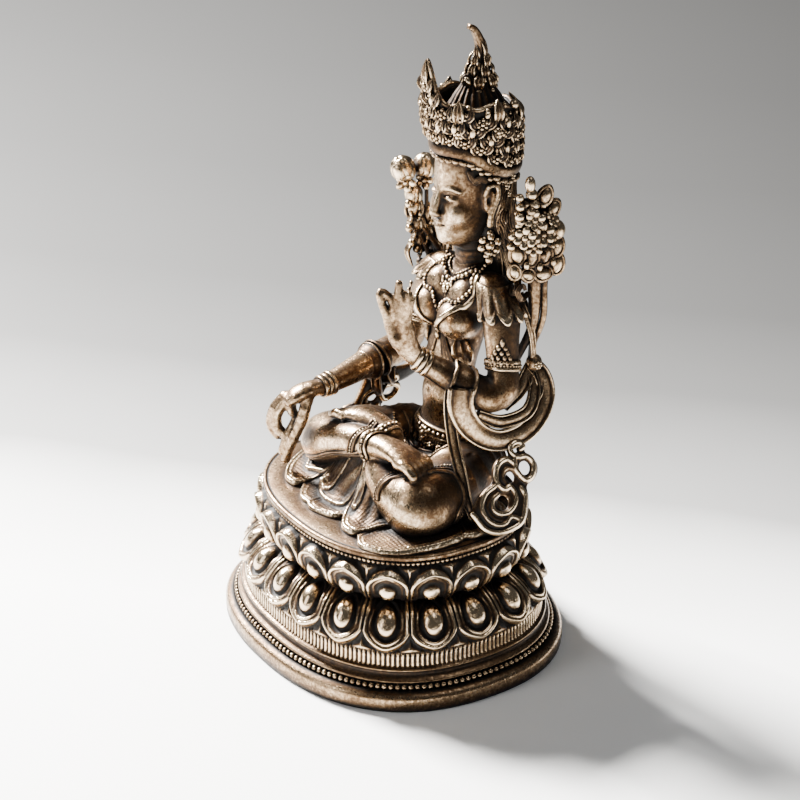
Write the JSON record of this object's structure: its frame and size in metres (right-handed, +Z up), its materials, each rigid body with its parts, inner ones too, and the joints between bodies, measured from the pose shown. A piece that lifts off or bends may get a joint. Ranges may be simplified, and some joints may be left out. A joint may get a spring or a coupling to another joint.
{
  "type": "tara figure",
  "caption": "Cast figure seated cross-legged on an oval double-lotus plinth, with a pointed crown, jewellery, looping scarves and lotus sprays at the shoulders.",
  "frame": {"origin": "centre of the plinth's underside", "axes": "+Z up, the figure faces -Y, +X is on the side of the figure's left hand"},
  "size_m": [0.12, 0.103, 0.2004],
  "materials": {
    "plinth_metal": "aged, with dark recesses and worn bright edges",
    "figure_metal": "aged, with dark recesses and worn bright edges"
  },
  "bodies": {
    "root": {"lotus_plinth": "plinth_metal", "tara_figure": "figure_metal"}
  },
  "joints": []
}
